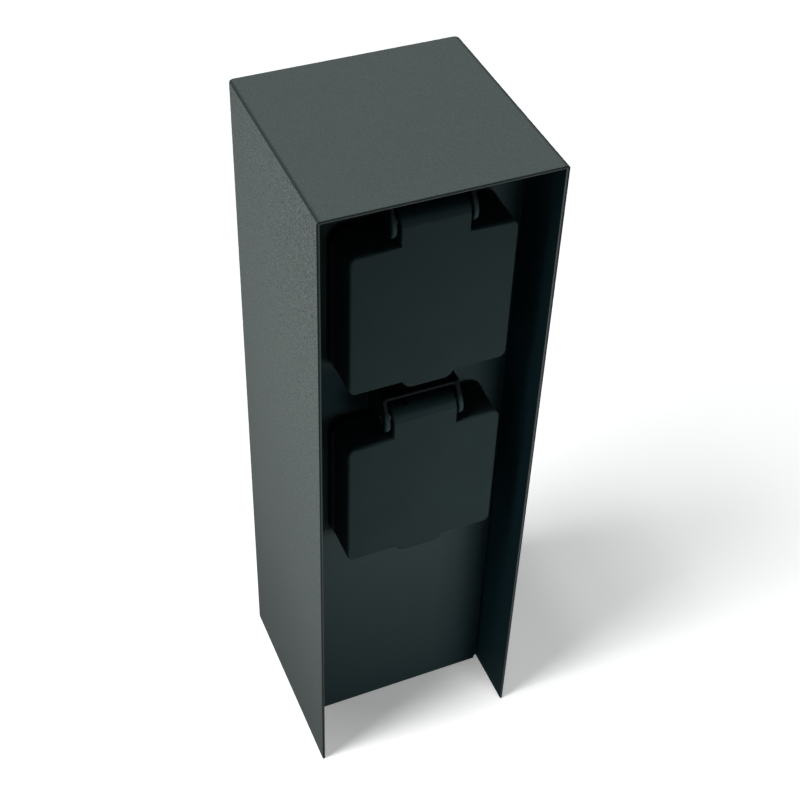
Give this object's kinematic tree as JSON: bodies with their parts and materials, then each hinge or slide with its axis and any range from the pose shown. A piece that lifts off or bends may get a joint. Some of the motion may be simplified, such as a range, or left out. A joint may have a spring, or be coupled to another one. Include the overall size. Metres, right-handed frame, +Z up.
{
  "type": "garden socket post",
  "caption": "Square garden post of folded sheet metal, open at the front, with splash-proof sockets under spring-closed flip lids on a recessed panel.",
  "frame": {"origin": "on the ground, in the middle of the post's square outline", "axes": "+Z up, the open front looks along -Y, +X to the right seen from the front"},
  "size_m": [0.075, 0.075, 0.25],
  "materials": {
    "coat": "matt anthracite powder coat with a fine texture",
    "lid_plastic": "fine-grained dark grey moulding",
    "black_plastic": "smooth black moulding",
    "rubber": "matt",
    "steel": "zinc plated",
    "brass": "bright",
    "ivory_plastic": "smooth moulding",
    "brown_wire": "smooth wire cover",
    "blue_wire": "smooth wire cover",
    "green_wire": "smooth wire cover"
  },
  "bodies": {
    "post": {"outer_hood": "coat", "socket_panel": "coat", "hood_screws": "steel", "clinch_nuts": "steel", "cable_grommet": "rubber", "block_studs": "steel", "terminal_block": "ivory_plastic", "terminal_sleeves": "brass", "terminal_block_screws": "steel", "terminal_block_nuts": "steel", "earth_stud": "steel", "earth_lug": "brass", "earth_washer": "steel", "earth_nut": "steel", "live_feed_wire": "brown_wire", "earth_feed_wire": "green_wire", "neutral_feed_wire": "blue_wire", "live_link_wire": "brown_wire", "earth_link_wire": "green_wire", "neutral_link_wire": "blue_wire", "panel_earth_wire": "green_wire", "upper_housing": "black_plastic", "upper_flange_gasket": "rubber", "upper_flange_screws": "steel", "upper_flange_nuts": "steel", "upper_contact_base": "ivory_plastic", "upper_base_screws": "steel", "upper_live_contact": "brass", "upper_neutral_contact": "brass", "upper_earth_clip": "brass", "upper_contact_screws": "steel", "upper_rear_cap": "black_plastic", "upper_hinge_pin": "steel", "upper_lid_spring": "steel", "lower_housing": "black_plastic", "lower_flange_gasket": "rubber", "lower_flange_screws": "steel", "lower_flange_nuts": "steel", "lower_contact_base": "ivory_plastic", "lower_base_screws": "steel", "lower_live_contact": "brass", "lower_neutral_contact": "brass", "lower_earth_clip": "brass", "lower_contact_screws": "steel", "lower_rear_cap": "black_plastic", "lower_hinge_pin": "steel", "lower_lid_spring": "steel"},
    "upper_lid": {"upper_lid": "lid_plastic", "upper_lid_seal": "rubber"},
    "lower_lid": {"lower_lid": "lid_plastic", "lower_lid_seal": "rubber"}
  },
  "joints": [
    {"name": "upper_lid_hinge", "type": "hinge", "parent": "post", "child": "upper_lid", "pos_m": [0, -0.0276, 0.2365], "axis": [-1, 0, 0], "range_deg": [0, 115], "stiffness_Nm_per_rad": 0.03, "springref_deg": -28.65, "deforming": ["upper_lid_spring"]},
    {"name": "lower_lid_hinge", "type": "hinge", "parent": "post", "child": "lower_lid", "pos_m": [0, -0.0276, 0.161], "axis": [-1, 0, 0], "range_deg": [0, 115], "stiffness_Nm_per_rad": 0.03, "springref_deg": -28.65, "deforming": ["lower_lid_spring"]}
  ]
}
